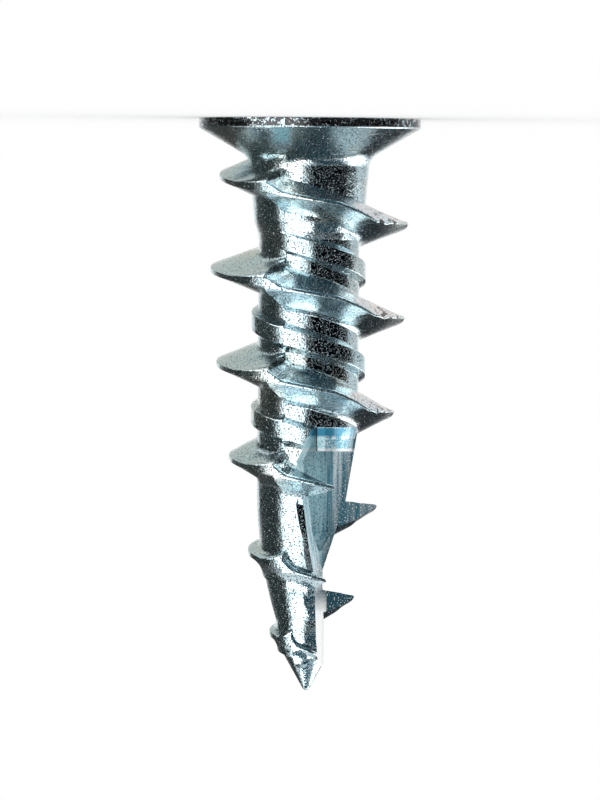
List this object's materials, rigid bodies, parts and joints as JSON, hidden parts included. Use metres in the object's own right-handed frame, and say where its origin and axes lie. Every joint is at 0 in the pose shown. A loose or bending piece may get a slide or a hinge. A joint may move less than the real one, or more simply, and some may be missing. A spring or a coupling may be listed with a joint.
{
  "type": "drywall anchor",
  "caption": "Self-drilling metal drywall anchor: flat countersunk head, deep coarse thread with a low thread between its turns, fluted drill point.",
  "frame": {"origin": "centre of the flat of the head", "axes": "+Z along the anchor from the head to the drill point; the flute is open towards -X and -Y"},
  "size_m": [0.0148, 0.0148, 0.038],
  "materials": {
    "zinc": "die-cast zinc with bright, bluish zinc plating, finely pitted"
  },
  "bodies": {
    "root": {"anchor": "zinc"}
  },
  "joints": []
}
